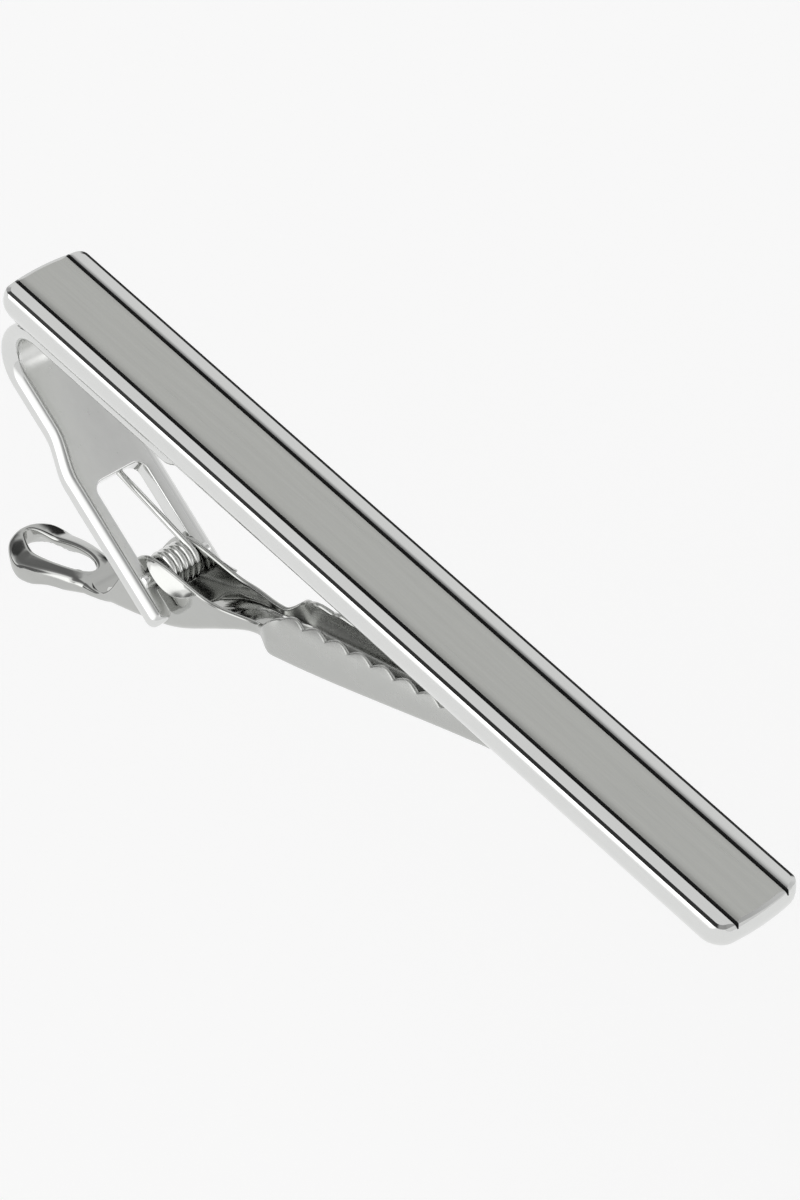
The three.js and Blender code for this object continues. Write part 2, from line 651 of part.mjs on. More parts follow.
const leverGroup = new THREE.Group();
leverGroup.position.copy(hinge);
leverGroup.rotation.y = -restAngle;
leverGroup.add(named("jaw_lever", jawLever(), polished));
tieBar.add(leverGroup);

export default tieBar;
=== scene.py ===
"""Studio scene of a tie bar with a sprung clip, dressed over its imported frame.

Sizes are in millimetres until a mesh is made. Meshes are in metres, in the part's own frame.
"""
import logging
import math
from dataclasses import dataclass
from enum import Enum
from functools import partial
from typing import Callable, Iterable, Optional, Sequence, Union

import bmesh
import bpy
from mathutils import Matrix, Vector
from mathutils.geometry import delaunay_2d_cdt


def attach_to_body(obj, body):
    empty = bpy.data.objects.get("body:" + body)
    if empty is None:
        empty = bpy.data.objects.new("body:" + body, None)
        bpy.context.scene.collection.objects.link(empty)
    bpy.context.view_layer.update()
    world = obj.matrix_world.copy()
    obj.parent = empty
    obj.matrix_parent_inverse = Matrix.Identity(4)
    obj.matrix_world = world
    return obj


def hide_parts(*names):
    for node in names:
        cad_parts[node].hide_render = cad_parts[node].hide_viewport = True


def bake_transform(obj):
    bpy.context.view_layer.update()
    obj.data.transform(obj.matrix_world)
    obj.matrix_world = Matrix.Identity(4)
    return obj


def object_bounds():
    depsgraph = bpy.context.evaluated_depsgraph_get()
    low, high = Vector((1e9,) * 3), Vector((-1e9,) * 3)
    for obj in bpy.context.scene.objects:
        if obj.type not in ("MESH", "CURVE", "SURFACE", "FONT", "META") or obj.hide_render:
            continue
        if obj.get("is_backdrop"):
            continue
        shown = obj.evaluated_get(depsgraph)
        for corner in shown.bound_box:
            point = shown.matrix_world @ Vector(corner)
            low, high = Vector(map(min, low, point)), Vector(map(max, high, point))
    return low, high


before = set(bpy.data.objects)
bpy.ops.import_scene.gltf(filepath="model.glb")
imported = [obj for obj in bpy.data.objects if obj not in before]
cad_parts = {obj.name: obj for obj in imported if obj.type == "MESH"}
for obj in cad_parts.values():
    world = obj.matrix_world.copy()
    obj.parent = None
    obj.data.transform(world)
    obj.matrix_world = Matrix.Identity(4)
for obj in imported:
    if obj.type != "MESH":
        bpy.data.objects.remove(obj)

LOG = logging.getLogger("tie_bar")
MM = 0.001

Solid = bmesh.types.BMesh
Point2 = tuple[float, float]
Point3 = tuple[float, float, float]
Ring = list[Vector]
Line = Callable[[float], float]
Height = Callable[[float, float], float]
Place = Callable[[float, float, float], Vector]
Inputs = dict[Union[str, int], object]


class Body(Enum):
    """The moving bodies of the part."""

    FRAME = "frame"
    LEVER = "lever"


class Slot(Enum):
    """The record's material slots."""

    SATIN = "satin_plate"
    POLISHED = "polished_plate"
    WIRE = "spring_wire"


def spaced(start: float, end: float, steps: int) -> list[float]:
    """Evenly spaced numbers, both ends included, with this many steps between them."""
    return [start + (end - start) * i / steps for i in range(steps + 1)]


def arc(x: float, y: float, radius: float, start: float, end: float, steps: int) -> list[Point2]:
    """Points on an arc round (x, y), from one angle in degrees to another, both included."""
    turns = [math.radians(a) for a in spaced(start, end, steps)]
    return [(x + radius * math.cos(a), y + radius * math.sin(a)) for a in turns]


def lerp(start: float, end: float, share: float) -> float:
    """The number a share of the way from start to end."""
    return start + (end - start) * share


def ease(x: float, start: float, end: float) -> float:
    """A smooth step from 0 at start to 1 at end."""
    t = min(1.0, max(0.0, (x - start) / (end - start)))
    return t * t * (3 - 2 * t)


def smooth_line(places: Sequence[Point2]) -> Line:
    """A smooth line through places, level at both ends and at each high or low place.

    Args:
        places: Pairs of position and value, in order of position.

    Returns:
        A function from position to value.
    """
    rises = [(b[1] - a[1]) / (b[0] - a[0]) for a, b in zip(places, places[1:])]
    slopes = [0.0]
    for before, after in zip(rises, rises[1:]):
        slopes.append(2 * before * after / (before + after) if before * after > 0 else 0.0)
    slopes.append(0.0)

    def value(x: float) -> float:
        """The line's value at one position."""
        if x <= places[0][0]:
            return places[0][1]
        if x >= places[-1][0]:
            return places[-1][1]
        i = next(k for k, place in enumerate(places) if x <= place[0]) - 1
        (x0, low), (x1, high) = places[i], places[i + 1]
        t = (x - x0) / (x1 - x0)
        bow = t * (1 - t) * (x1 - x0) * (slopes[i] * (1 - t) - slopes[i + 1] * t)
        return lerp(low, high, t * t * (3 - 2 * t)) + bow

    return value


def linked(name: str, data: bpy.types.ID) -> bpy.types.Object:
    """A new object of the scene."""
    made = bpy.data.objects.new(name, data)
    bpy.context.scene.collection.objects.link(made)
    return made


class MeshKit:
    """Ways to make and join the meshes of the pieces, in millimetres."""

    MERGE = 1e-6
    SNAP = 1e-7
    ROD_STEPS = 48
    ALL_SMOOTH = 180

    @staticmethod
    def skin(bm: Solid, rows: Sequence[Sequence[bmesh.types.BMVert]]) -> None:
        """Joins closed rows of equally many vertices by faces."""
        for low, high in zip(rows, rows[1:]):
            for i in range(-1, len(low) - 1):
                bm.faces.new((low[i], low[i + 1], high[i + 1], high[i]))

    @classmethod
    def loft(cls, rings: Sequence[Ring]) -> Solid:
        """A closed body through rings of equally many points.

        Args:
            rings: Loops of points, in order.

        Returns:
            The body, with its faces pointing out.
        """
        bm = bmesh.new()
        rows = [[bm.verts.new(p) for p in ring] for ring in rings]
        cls.skin(bm, rows)
        bm.faces.new(list(reversed(rows[0])))
        bm.faces.new(rows[-1])
        bmesh.ops.recalc_face_normals(bm, faces=bm.faces)
        return bm

    @staticmethod
    def inside(point: Point2, loop: Sequence[Point2]) -> bool:
        """Whether a point lies inside a flat loop.

        Args:
            point: The point.
            loop: The loop's corners.

        Returns:
            True if it lies inside.
        """
        x, y = point
        found = False
        for (x0, y0), (x1, y1) in zip(loop, [*loop[1:], loop[0]]):
            if (y0 > y) != (y1 > y) and x < x0 + (y - y0) * (x1 - x0) / (y1 - y0):
                found = not found
        return found

    @staticmethod
    def inset(loop: Sequence[Point2], depths: Sequence[float]) -> list[Point2]:
        """A loop moved into the material, which lies on its left.

        Args:
            loop: The loop's points.
            depths: How far each point moves.

        Returns:
            The moved points.
        """
        moved = []
        for i, ((x, y), depth) in enumerate(zip(loop, depths)):
            before, after = loop[i - 1], loop[(i + 1) % len(loop)]
            along = Vector((after[0] - before[0], after[1] - before[1])).normalized()
            moved.append((x - along.y * depth, y + along.x * depth))
        return moved

    @classmethod
    def plate(
        cls,
        loops: Sequence[tuple[Sequence[Point2], Height, Height]],
        low: Height,
        high: Height,
        place: Place,
        inner: Iterable[Point2],
        steps: int = 6,
        flat_slot: int = 0,
    ) -> Solid:
        """A plate with rounded edges.

        Args:
            loops: The outline with the material on its left, then the holes likewise, each with
                the radii of its lower and upper rounded edges at a place along and across.
            low: Height of the lower face at a place along and across.
            high: Height of the upper face at a place along and across.
            place: Turns a place along, a place across and a height into a point.
            inner: Points inside the outline that make the faces follow a bend.
            steps: Steps on each quarter of the rounding.
            flat_slot: Material slot of the faces between the rounded edges.

        Returns:
            The plate as a closed body.
        """
        bm = bmesh.new()
        quarter = spaced(0, math.pi / 2, steps)
        levels = [(1 - math.sin(a), 0, 1 - math.cos(a)) for a in quarter]
        levels += [(1 - math.cos(a), 1, math.sin(a) - 1) for a in quarter]
        faces = (low, high)
        rims: tuple[list, list] = ([], [])
        for loop, *edges in loops:
            rows = []
            for depth, upper, rise in levels:
                sizes = [edges[upper](s, y) for s, y in loop]
                flat = cls.inset(loop, [size * depth for size in sizes])
                heights = [faces[upper](s, y) + size * rise for (s, y), size in zip(flat, sizes)]
                points = [place(s, y, z) for (s, y), z in zip(flat, heights)]
                rows.append([bm.verts.new(p) for p in points])
                if len(rows) in (1, len(levels)):
                    rims[upper].append(list(zip(flat, rows[-1])))
            cls.skin(bm, rows)
        for rim, height in zip(rims, faces):
            for face in cls._fill(bm, rim, height, place, inner):
                face.material_index = flat_slot
        bmesh.ops.remove_doubles(bm, verts=bm.verts, dist=cls.MERGE)
        bmesh.ops.recalc_face_normals(bm, faces=bm.faces)
        return bm

    @classmethod
    def _fill(
        cls,
        bm: Solid,
        rim: Sequence[Sequence[tuple[Point2, bmesh.types.BMVert]]],
        height: Height,
        place: Place,
        inner: Iterable[Point2],
    ) -> list[bmesh.types.BMFace]:
        """Fills the flat of a plate between its loops.

        Args:
            bm: The plate so far.
            rim: Flat places and vertices of each loop.
            height: Height of this face at a place along and across.
            place: Turns a place along, a place across and a height into a point.
            inner: Points inside the outline.

        Returns:
            The new faces.
        """
        loops = [[p for p, _ in loop] for loop in rim]
        known = [vert for loop in rim for _, vert in loop]
        edges, first = [], 0
        for span in map(len, loops):
            edges += [(first + i, first + (i + 1) % span) for i in range(span)]
            first += span

        def filled(p: Point2) -> bool:
            """Whether a flat place is on the material."""
            return cls.inside(p, loops[0]) and not any(cls.inside(p, h) for h in loops[1:])

        flat = [Vector(p) for loop in loops for p in loop] + [Vector(p) for p in inner if filled(p)]
        points, _, faces, origin, _, _ = delaunay_2d_cdt(flat, edges, [], 0, cls.SNAP)
        verts = []
        for p, sources in zip(points, origin):
            if sources and sources[0] < len(known):
                verts.append(known[sources[0]])
            else:
                verts.append(bm.verts.new(place(p.x, p.y, height(p.x, p.y))))
        made = []
        for face in faces:
            middle = sum((points[i] for i in face), Vector((0, 0))) / len(face)
            if filled((middle.x, middle.y)):
                made.append(bm.faces.new([verts[i] for i in face]))
        return made

    @staticmethod
    def finish(name: str, parts: Sequence[Solid], sharp_deg: float) -> bpy.types.Object:
        """Joins bodies in millimetres into one object in metres, with smooth shading.

        Args:
            name: The object's name.
            parts: The bodies. They are freed.
            sharp_deg: Edges that turn more than this stay sharp.

        Returns:
            The linked object.
        """
        mesh = bpy.data.meshes.new(name)
        whole = bmesh.new()
        for part in parts:
            part.to_mesh(mesh)
            part.free()
            whole.from_mesh(mesh)
            mesh.clear_geometry()
        bmesh.ops.scale(whole, vec=(MM, MM, MM), verts=whole.verts)
        whole.to_mesh(mesh)
        whole.free()
        mesh.shade_smooth()
        mesh.set_sharp_from_angle(angle=math.radians(sharp_deg))
        return linked(name, mesh)

    @classmethod
    def cut(cls, body: Solid, tool: Solid) -> Solid:
        """A body with another taken out of it.

        Args:
            body: The body. It is freed.
            tool: What is taken away. It is freed.

        Returns:
            What is left.
        """
        blank = cls.finish("cut_body", [body], cls.ALL_SMOOTH)
        cutter = cls.finish("cut_tool", [tool], cls.ALL_SMOOTH)
        step = blank.modifiers.new("cut", "BOOLEAN")
        step.operation = "DIFFERENCE"
        step.solver = "EXACT"
        step.object = cutter
        view = bpy.context.evaluated_depsgraph_get()
        mesh = bpy.data.meshes.new_from_object(blank.evaluated_get(view))
        left = bmesh.new()
        left.from_mesh(mesh)
        bmesh.ops.scale(left, vec=(1 / MM, 1 / MM, 1 / MM), verts=left.verts)
        spent = [blank.data, cutter.data, mesh]
        for made in (blank, cutter):
            bpy.data.objects.remove(made)
        for old in spent:
            bpy.data.meshes.remove(old)
        return left

    @classmethod
    def rod(cls, at: Vector, radius: float, ends: Point2, chamfer: float) -> Solid:
        """A round rod along Y with broken ends.

        Args:
            at: A point of its axis.
            radius: Its radius.
            ends: Its two ends across the part.
            chamfer: How far both ends are broken.

        Returns:
            The rod as a closed body.
        """
        start, end = ends
        way = math.copysign(chamfer, end - start)
        broken = radius - chamfer
        profile = [(start, broken), (start + way, radius), (end - way, radius), (end, broken)]
        rings = []
        for y, r in profile:
            turns = arc(at.x, at.z, r, 0, 360, cls.ROD_STEPS)[:-1]
            rings.append([Vector((x, y, z)) for x, z in turns])
        return cls.loft(rings)


class NodePen:
    """A short way to write a node tree."""

    def __init__(self, tree: bpy.types.NodeTree) -> None:
        """Starts from an empty tree."""
        self.tree = tree
        tree.nodes.clear()

    def add(self, kind: str, inputs: Optional[Inputs] = None, **values: object) -> bpy.types.Node:
        """A new node.

        Args:
            kind: The node's type name.
            inputs: For some of its inputs, a value or the output that is linked to it.
            values: Properties of the node.

        Returns:
            The node.
        """
        node = self.tree.nodes.new(kind)
        for name, value in values.items():
            setattr(node, name, value)
        for name, value in (inputs or {}).items():
            if isinstance(value, bpy.types.NodeSocket):
                self.tree.links.new(value, node.inputs[name])
            else:
                node.inputs[name].default_value = value
        return node


@dataclass(frozen=True)
class PlatedMetal:
    """A bright plated finish with faint polishing marks.

    The marks are a stretched noise on Object coordinates. They move the roughness, tint and bump.
    """

    name: str
    color: Point3
    roughness: float
    roughness_play: float
    tint_play: float
    mark_scale: Point3
    bump: float
    bump_depth: float = 0.000004
    mark_detail: float = 6
    mark_grain: float = 0.65
    mark_low: float = 0.3
    mark_high: float = 0.7

    def material(self) -> bpy.types.Material:
        """Makes the material.

        Returns:
            The node material.
        """
        made = bpy.data.materials.new(self.name)
        made.use_nodes = True
        made.diffuse_color = (*self.color, 1)
        pen = NodePen(made.node_tree)
        place = pen.add("ShaderNodeTexCoord")
        stretch = pen.add(
            "ShaderNodeMapping", {"Vector": place.outputs["Object"], "Scale": self.mark_scale}
        )
        noise = pen.add("ShaderNodeTexNoise", {
            "Vector": stretch.outputs["Vector"],
            "Scale": 1,
            "Detail": self.mark_detail,
            "Roughness": self.mark_grain,
        })
        marks = noise.outputs["Fac"]
        rough = pen.add("ShaderNodeMapRange", {
            "Value": marks,
            "From Min": self.mark_low,
            "From Max": self.mark_high,
            "To Min": self.roughness - self.roughness_play,
            "To Max": self.roughness + self.roughness_play,
        })
        tint = pen.add("ShaderNodeValToRGB", {"Fac": marks})
        tones = ((self.mark_low, 1 - self.tint_play), (self.mark_high, 1 + self.tint_play))
        for element, (position, tone) in zip(tint.color_ramp.elements, tones):
            element.position = position
            element.color = (*(c * tone for c in self.color), 1)
        bump = pen.add(
            "ShaderNodeBump", {"Height": marks, "Strength": self.bump, "Distance": self.bump_depth}
        )
        shader = pen.add("ShaderNodeBsdfPrincipled", {
            "Metallic": 1,
            "Base Color": tint.outputs["Color"],
            "Roughness": rough.outputs["Result"],
            "Normal": bump.outputs["Normal"],
        })
        pen.add("ShaderNodeOutputMaterial", {"Surface": shader.outputs["BSDF"]})
        return made


@dataclass(frozen=True)
class Finishes:
    """The finishes of the whole part."""

    brushed: PlatedMetal = PlatedMetal(
        "brushed_panel", (0.6, 0.606, 0.58), 0.33, 0.06, 0.11, (130, 2400, 2400), 0.35
    )
    polished: PlatedMetal = PlatedMetal(
        "polished_plate", (0.73, 0.735, 0.725), 0.09, 0.025, 0.015, (900, 2500, 2500), 0.04
    )
    # The groove finish's dark colour is painted shade, put on the groove faces where shade falls.
    groove: PlatedMetal = PlatedMetal(
        "groove_painted_shade", (0.2, 0.2, 0.2), 0.22, 0.05, 0.05, (300, 3000, 3000), 0.1
    )
    stamped: PlatedMetal = PlatedMetal(
        "stamped_plate", (0.5, 0.505, 0.49), 0.11, 0.03, 0.02, (700, 1800, 1800), 0.06
    )
    sheet: PlatedMetal = PlatedMetal(
        "satin_sheet", (0.76, 0.765, 0.75), 0.3, 0.03, 0.02, (700, 1800, 1800), 0.03
    )
    pressed: PlatedMetal = PlatedMetal(
        "pressed_jaw", (0.5, 0.505, 0.49), 0.26, 0.04, 0.02, (700, 1800, 1800), 0.05
    )
    wire: PlatedMetal = PlatedMetal(
        "spring_wire", (0.68, 0.685, 0.67), 0.07, 0.03, 0.02, (2500, 2500, 2500), 0.06
    )
    solder: PlatedMetal = PlatedMetal(
        "solder", (0.6, 0.6, 0.58), 0.38, 0.08, 0.05, (2500, 2500, 2500), 0.4
    )


def dress(mesh: bpy.types.Mesh, *finishes: PlatedMetal) -> None:
    """Gives a mesh a material for each finish, in order."""
    for finish in finishes:
        mesh.materials.append(finish.material())


@dataclass
class FrontBar:
    """The solid bar with bullnosed sides and ends, a brushed panel and two grooves in painted
    shade.
    """

    length: float = 60.5
    width: float = 6.0
    thickness: float = 2.0
    widest_height: float = 1.15
    side_bulge: float = 0.32
    back_draw_in: float = 0.22
    end_crown: float = 0.3
    top_corner_radius: float = 0.35
    side_corner_radius: float = 1.1
    rail_width: float = 1.05
    groove_width: float = 0.26
    groove_depth: float = 0.3
    groove_floor_share: float = 0.3
    shoulder_width: float = 0.5
    shoulder_depth: float = 0.035
    edge_width: float = 0.17
    edge_height: float = 0.062
    back_break: float = 0.12
    end_tilt: float = 0.3
    panel_level: float = 0.98
    sharp_deg: float = 12
    back_steps: int = 4
    corner_steps: int = 10
    end_steps: int = 10
    shoulder_steps: int = 8
    side_steps: int = 14

    def outline(self, z: float, extra: float) -> Ring:
        """The bar's outline at one height.

        Args:
            z: The height.
            extra: How far the outline is drawn in beyond the side's curve.

        Returns:
            A loop of points.
        """
        above = z >= self.widest_height
        reach = self.thickness - self.widest_height if above else self.widest_height
        away = abs(z - self.widest_height) / reach
        fall = self.side_bulge if above else self.side_bulge + self.back_draw_in
        offset = self.side_bulge - fall * away * away - extra
        half_length = self.length / 2 + offset
        half_width = self.width / 2 + offset
        share = away * away if above else 0
        radius = lerp(self.side_corner_radius, self.top_corner_radius, share)
        quarter = [(half_length, y) for y in spaced(0, half_width - radius, self.end_steps)[:-1]]
        quarter += arc(half_length - radius, half_width - radius, radius, 0, 90, self.corner_steps)
        crowned = [(x - self.end_crown * (y / half_width) ** 2, y) for x, y in quarter]
        rest = crowned[1:]
        loop = [
            *crowned,
            *((-x, y) for x, y in reversed(rest)),
            (-half_length, 0.0),
            *((-x, -y) for x, y in rest),
            *((x, -y) for x, y in reversed(rest)),
        ]
        return [Vector((x, y, z)) for x, y in loop]

    def groove(self, y: float) -> Solid:
        """What is cut away for one groove.

        Args:
            y: Place of the groove's middle across the bar.

        Returns:
            A long wedge with flared lips.
        """
        half, top = self.groove_width / 2, self.thickness
        section = [(self.groove_floor_share * half, top - self.groove_depth)]
        for share in spaced(0, 1, self.shoulder_steps):
            fall = self.shoulder_depth * (1 - share) ** 2
            section.append((half + self.shoulder_width * share, top - fall))
        section.append((half + self.shoulder_width, top + self.shoulder_depth))
        section += [(-a, z) for a, z in reversed(section)]
        reach = self.length / 2 + self.side_bulge + self.end_crown
        rings = [[Vector((x, y + a, z)) for a, z in section] for x in (-reach, reach)]
        return MeshKit.loft(rings)

    def build(self, finishes: Finishes) -> bpy.types.Object:
        """Makes the bar and gives each face its finish; the groove faces get a dark painted shade.

        Args:
            finishes: The part's finishes.

        Returns:
            The bar's object.
        """
        back, widest = self.back_break, self.widest_height
        crest = self.thickness - self.edge_height
        levels = [(a * back, back * (1 - a) ** 2) for a in spaced(0, 1, self.back_steps)]
        levels += [(z, 0.0) for z in spaced(back, widest, self.side_steps)[1:]]
        levels += [(z, 0.0) for z in spaced(widest, crest, self.side_steps)[1:]]
        levels += [(self.thickness, self.edge_width)]
        body = MeshKit.loft([self.outline(z, extra) for z, extra in levels])
        groove_y = self.width / 2 - self.rail_width
        for side in (-1, 1):
            body = MeshKit.cut(body, self.groove(side * groove_y))
        made = MeshKit.finish("bar_body", [body], self.sharp_deg)
        dress(made.data, finishes.polished, finishes.brushed, finishes.groove)
        groove_floor = self.thickness - self.groove_depth
        for face in made.data.polygons:
            across = abs(face.center.y) / MM
            if face.center.z / MM < groove_floor or abs(face.normal.x) > self.end_tilt:
                continue
            # Groove faces take the dark painted-shade material.
            if abs(across - groove_y) < self.groove_width / 2:
                face.material_index = 2
            elif face.normal.z > self.panel_level and across < groove_y:
                face.material_index = 1
        return made


@dataclass
class ClipArm:
    """The bent and forked strip that carries the jaw lever."""

    bar: FrontBar
    solder: float = 0.2
    sheet: float = 1.2
    face_edge: float = 0.74
    back_edge: float = 0.4
    window_edge: float = 0.1
    narrow_width: float = 5.0
    wide_width: float = 6.5
    foot_length: float = 12.6
    foot_corner: float = 1.0
    bend_radius: float = 2.3
    bend_inset: float = 0.05
    slope_deg: float = 28.5
    length: float = 16.75
    flare_start: float = 3.5
    flare_length: float = 3.4
    tip_radius: float = 0.55
    window_corner: float = 0.7
    window_length: float = 9.2
    window_half: float = 1.9
    hinge_to_tip: float = 2.6
    trunnion_radius: float = 0.45
    trunnion_end: float = 0.75
    trunnion_sink: float = 0.1
    trunnion_break: float = 0.08
    spacing: float = 0.16
    grid_start: float = 0.5
    grid_half: float = 2.6
    grid_steps: tuple[int, int] = (130, 8)
    corner_steps: int = 10
    sharp_deg: float = 40

    def __post_init__(self) -> None:
        """Works out the strip's middle line."""
        self.slope = math.radians(self.slope_deg)
        self.foot_z = -self.solder - self.sheet / 2
        reach = self.bar.length / 2 + self.bar.end_crown - self.bend_inset
        self.bend_x = -reach + self.sheet / 2 + self.bend_radius
        self.bend_turn = math.pi - self.slope
        self.bend_end = self.foot_length + self.bend_radius * self.bend_turn
        self.total = self.bend_end + self.length
        self.window_s = self.total - self.window_length

    def place(self, s: float, y: float, out: float) -> Vector:
        """A point of the bent strip.

        Args:
            s: Way along the middle line from the foot's end.
            y: Place across.
            out: Height above the middle line, towards the outside of the bend.

        Returns:
            The point, in millimetres.
        """
        if s <= self.foot_length:
            return Vector((self.bend_x + self.foot_length - s, y, self.foot_z + out))
        turn = min((s - self.foot_length) / self.bend_radius, self.bend_turn)
        radius = self.bend_radius + out
        x = self.bend_x - radius * math.sin(turn)
        z = self.foot_z - self.bend_radius + radius * math.cos(turn)
        past = max(0.0, s - self.bend_end)
        return Vector((x + past * math.cos(self.slope), y, z - past * math.sin(self.slope)))

    def hinge(self) -> Vector:
        """The middle of the hinge axis."""
        return self.place(self.total - self.hinge_to_tip, 0, self.trunnion_sink - self.sheet / 2)

    def half_width(self, s: float) -> float:
        """Half the strip's width at a place along it."""
        start = self.bend_end + self.flare_start
        flared = ease(s, start, start + self.flare_length)
        return lerp(self.narrow_width, self.wide_width, flared) / 2

    def outline(self) -> list[Point2]:
        """The flat strip's outline, with the material on its left.

        Returns:
            A loop of points along and across the strip.
        """

        def run(a: float, b: float) -> list[float]:
            """Places from a to b, both included, at the usual spacing."""
            return spaced(a, b, max(1, round(abs(b - a) / self.spacing)))

        def turn(s: float, y: float, radius: float, start: float, end: float) -> list[Point2]:
            """Points round a corner, without its first."""
            return arc(s, y, radius, start, end, self.corner_steps)[1:]

        corner, tip, window = self.foot_corner, self.tip_radius, self.window_corner
        wide, narrow = self.wide_width / 2, self.narrow_width / 2
        tip_s, window_end = self.total - tip, self.window_s + window
        half = [(0.0, y) for y in run(0, narrow - corner)]
        half += turn(corner, narrow - corner, corner, 180, 90)
        half += [(s, self.half_width(s)) for s in run(corner, tip_s)[1:]]
        half += turn(tip_s, wide - tip, tip, 90, 0)
        half += [(self.total, y) for y in run(wide - tip, self.window_half + tip)[1:]]
        half += turn(tip_s, self.window_half + tip, tip, 0, -90)
        half += [(s, self.window_half) for s in run(tip_s, window_end)[1:]]
        half += turn(window_end, self.window_half - window, window, 90, 180)
        half += [(self.window_s, y) for y in run(self.window_half - window, 0)[1:]]
        return [(s, -y) for s, y in half] + half[-2:0:-1]

    def edge(self, outside: float, s: float, y: float) -> float:
        """Radius of an edge: the window is punched and stays crisper than the outside.

        Args:
            outside: Radius on the outside.
            s: Way along the middle line.
            y: Place across.

        Returns:
            The radius there.
        """
        if s < self.window_s - self.spacing:
            return outside
        share = ease(abs(y), self.window_half, self.wide_width / 2)
        return lerp(self.window_edge, outside, share)

    def build(self, finishes: Finishes) -> bpy.types.Object:
        """Makes the arm with its trunnions.

        Args:
            finishes: The part's finishes.

        Returns:
            The arm's object.
        """
        rows, columns = self.grid_steps
        across = spaced(-self.grid_half, self.grid_half, columns)
        grid = [(s, y) for s in spaced(self.grid_start, self.total, rows) for y in across]
        edges = [partial(self.edge, radius) for radius in (self.face_edge, self.back_edge)]
        strip = MeshKit.plate(
            [(self.outline(), *edges)],
            lambda s, y: -self.sheet / 2,
            lambda s, y: self.sheet / 2,
            self.place,
            grid,
            flat_slot=1,
        )
        prong = (self.window_half + self.wide_width / 2) / 2
        rods = []
        for side in (-1, 1):
            ends = (side * prong, side * self.trunnion_end)
            rods.append(
                MeshKit.rod(self.hinge(), self.trunnion_radius, ends, self.trunnion_break)
            )
        made = MeshKit.finish("arm_strip", [strip, *rods], self.sharp_deg)
        dress(made.data, finishes.polished, finishes.sheet)
        return made


